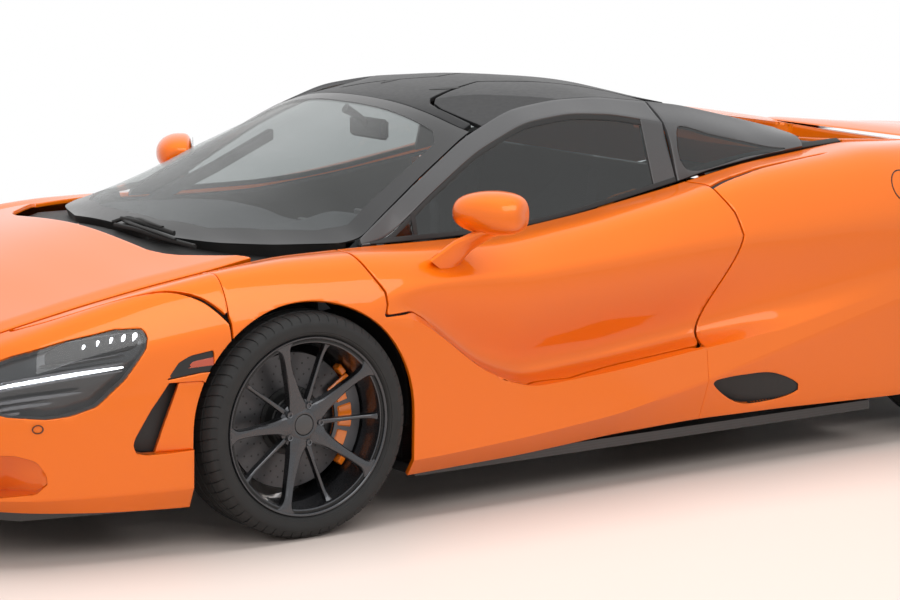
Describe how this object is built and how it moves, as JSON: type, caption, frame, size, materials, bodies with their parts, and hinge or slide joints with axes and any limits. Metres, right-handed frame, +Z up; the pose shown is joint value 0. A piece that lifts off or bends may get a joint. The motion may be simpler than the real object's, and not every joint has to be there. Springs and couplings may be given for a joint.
{
  "type": "supercar",
  "caption": "Two-seat mid-engined supercar with dihedral doors, opening front lid, active rear wing, steered front wheels and free-turning road wheels.",
  "frame": {"origin": "on the ground under the middle of the car's overall length and width", "axes": "+X forward along the car, +Y to its left, +Z up"},
  "size_m": [4.569, 2.16, 1.196],
  "materials": {
    "black_gloss": "gloss black",
    "black_plastic": "satin black",
    "cabin_trim": "dark suede-like trim",
    "carbon": "carbon composite, satin",
    "cast_metal": "as cast",
    "disc": "dark ceramic composite",
    "forged_metal": "forged, anodised dark",
    "lamp_lens": "clear lens over a dark housing",
    "paint": "gloss metallic orange paint under clear coat",
    "rim": "dark grey metallic paint",
    "seat_cloth": "dark suede-like cloth",
    "steel": "brushed",
    "tail_lens": "clear red",
    "tinted_glass": "dark tinted glass",
    "tyre": "matte rubber"
  },
  "bodies": {
    "body": {"bulkheads": "carbon", "canopy_sides": "black_gloss", "cowl": "black_plastic", "dashboard": "cabin_trim", "diffuser": "carbon", "diffuser_fins": "carbon", "engine_block": "cast_metal", "exhausts": "steel", "floor_pan": "carbon", "front_bumper": "paint", "front_fenders": "paint", "front_pillars": "carbon", "grilles": "black_plastic", "half_shafts": "forged_metal", "headlamps": "lamp_lens", "luggage_tub": "black_plastic", "rear_bumper": "paint", "rear_deck": "paint", "rear_mesh": "black_plastic", "rear_quarters": "paint", "rear_uprights": "forged_metal", "rear_windows": "tinted_glass", "roof": "black_gloss", "seats": "seat_cloth", "sills": "paint", "steering_wheel": "cabin_trim", "suspension_arms": "forged_metal", "tail_lamps": "tail_lens", "tub_sides": "carbon", "wheel_liners": "black_plastic", "windscreen": "tinted_glass"},
    "door_left_assembly": {"door_frame_left": "black_gloss", "door_glass_left": "tinted_glass", "door_left": "paint", "door_mirror_left": "paint"},
    "door_right_assembly": {"door_frame_right": "black_gloss", "door_glass_right": "tinted_glass", "door_mirror_right": "paint", "door_right": "paint"},
    "wheel_front_left": {"front_disc_left": "disc", "front_rim_left": "rim", "front_tyre_left": "tyre"},
    "wheel_front_right": {"front_disc_right": "disc", "front_rim_right": "rim", "front_tyre_right": "tyre"},
    "front_lid": {"front_lid": "paint"},
    "knuckle_left": {"front_upright_left": "forged_metal"},
    "knuckle_right": {"front_upright_right": "forged_metal"},
    "wheel_rear_left": {"rear_disc_left": "disc", "rear_rim_left": "rim", "rear_tyre_left": "tyre"},
    "wheel_rear_right": {"rear_disc_right": "disc", "rear_rim_right": "rim", "rear_tyre_right": "tyre"},
    "rear_wing": {"rear_wing": "paint"}
  },
  "joints": [
    {"name": "front_lid_hinge", "type": "hinge", "parent": "body", "child": "front_lid", "pos_m": [1.2045, 0, 0.775], "axis": [0, -1, 0], "range_deg": [0, 60]},
    {"name": "rear_wing_hinge", "type": "hinge", "parent": "body", "child": "rear_wing", "pos_m": [-1.8875, 0, 0.918], "axis": [0, 1, 0], "range_deg": [0, 22]},
    {"name": "door_left_hinge", "type": "hinge", "parent": "body", "child": "door_left_assembly", "pos_m": [0.9695, 0.8, 0.84], "axis": [0.7205, 0.5994, -0.3488], "range_deg": [0, 70]},
    {"name": "door_right_hinge", "type": "hinge", "parent": "body", "child": "door_right_assembly", "pos_m": [0.9695, -0.8, 0.84], "axis": [-0.7205, 0.5994, 0.3488], "range_deg": [0, 70]},
    {"name": "steer_left", "type": "hinge", "parent": "body", "child": "knuckle_left", "pos_m": [1.1745, 0.78, 0.326], "axis": [0, 0, 1], "range_deg": [-30, 30]},
    {"name": "steer_right", "type": "hinge", "parent": "body", "child": "knuckle_right", "pos_m": [1.1745, -0.78, 0.326], "axis": [0, 0, 1], "range_deg": [-30, 30]},
    {"name": "wheel_spin_front_left", "type": "hinge", "parent": "knuckle_left", "child": "wheel_front_left", "pos_m": [1.1745, 0.838, 0.326], "axis": [0, 1, 0], "continuous": true},
    {"name": "wheel_spin_front_right", "type": "hinge", "parent": "knuckle_right", "child": "wheel_front_right", "pos_m": [1.1745, -0.838, 0.326], "axis": [0, 1, 0], "continuous": true},
    {"name": "wheel_spin_rear_left", "type": "hinge", "parent": "body", "child": "wheel_rear_left", "pos_m": [-1.4955, 0.814, 0.345], "axis": [0, 1, 0], "continuous": true},
    {"name": "wheel_spin_rear_right", "type": "hinge", "parent": "body", "child": "wheel_rear_right", "pos_m": [-1.4955, -0.814, 0.345], "axis": [0, 1, 0], "continuous": true}
  ],
  "couplings": [
    {"joint": "steer_right", "follows": "steer_left", "ratio": 1}
  ]
}
